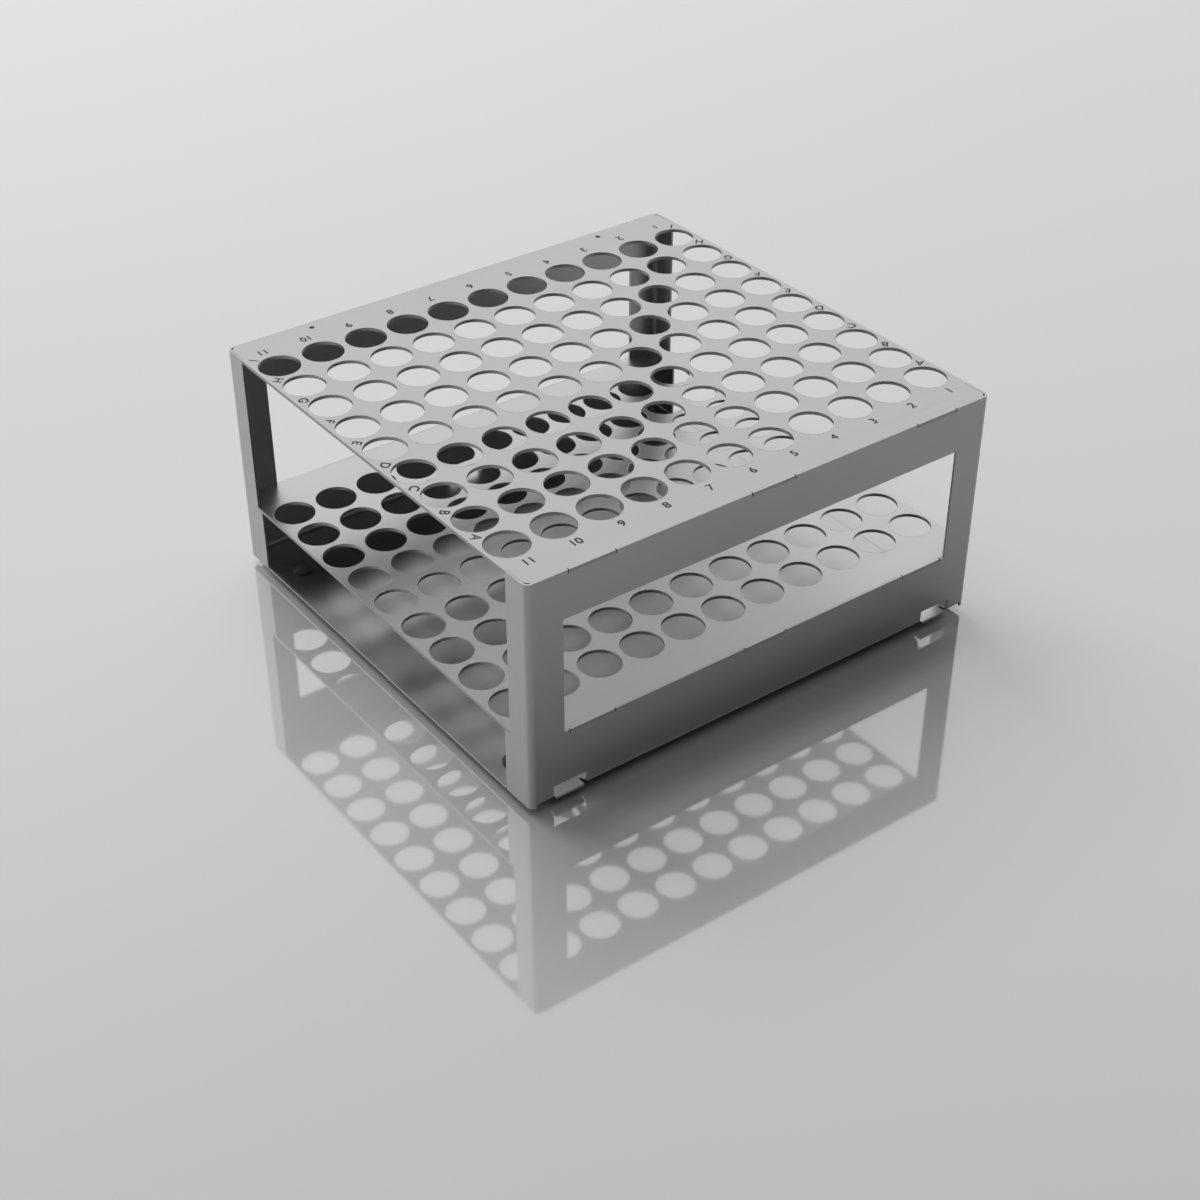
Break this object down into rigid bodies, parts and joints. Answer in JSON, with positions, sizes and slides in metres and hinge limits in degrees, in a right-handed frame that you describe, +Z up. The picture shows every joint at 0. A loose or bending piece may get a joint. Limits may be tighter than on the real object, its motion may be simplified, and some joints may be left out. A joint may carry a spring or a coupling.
{
  "type": "fraction collector rack",
  "caption": "Folded sheet steel rack whose round holes in a top plate and a shelf hold test tubes upright in lettered rows and numbered columns.",
  "frame": {"origin": "on the table under the middle of the rack", "axes": "+X to the right along the front, +Y to the back, +Z up"},
  "size_m": [0.242, 0.232, 0.113],
  "materials": {
    "base_frame": "satin, fine straight brushing",
    "top_plate": "satin, fine straight brushing",
    "tube_shelf": "satin, fine straight brushing",
    "foot": "matt"
  },
  "bodies": {
    "root": {"base_frame": "base_frame", "top_plate": "top_plate", "tube_shelf": "tube_shelf", "foot_front_left": "foot", "foot_front_right": "foot", "foot_back_left": "foot", "foot_back_right": "foot"}
  },
  "joints": []
}
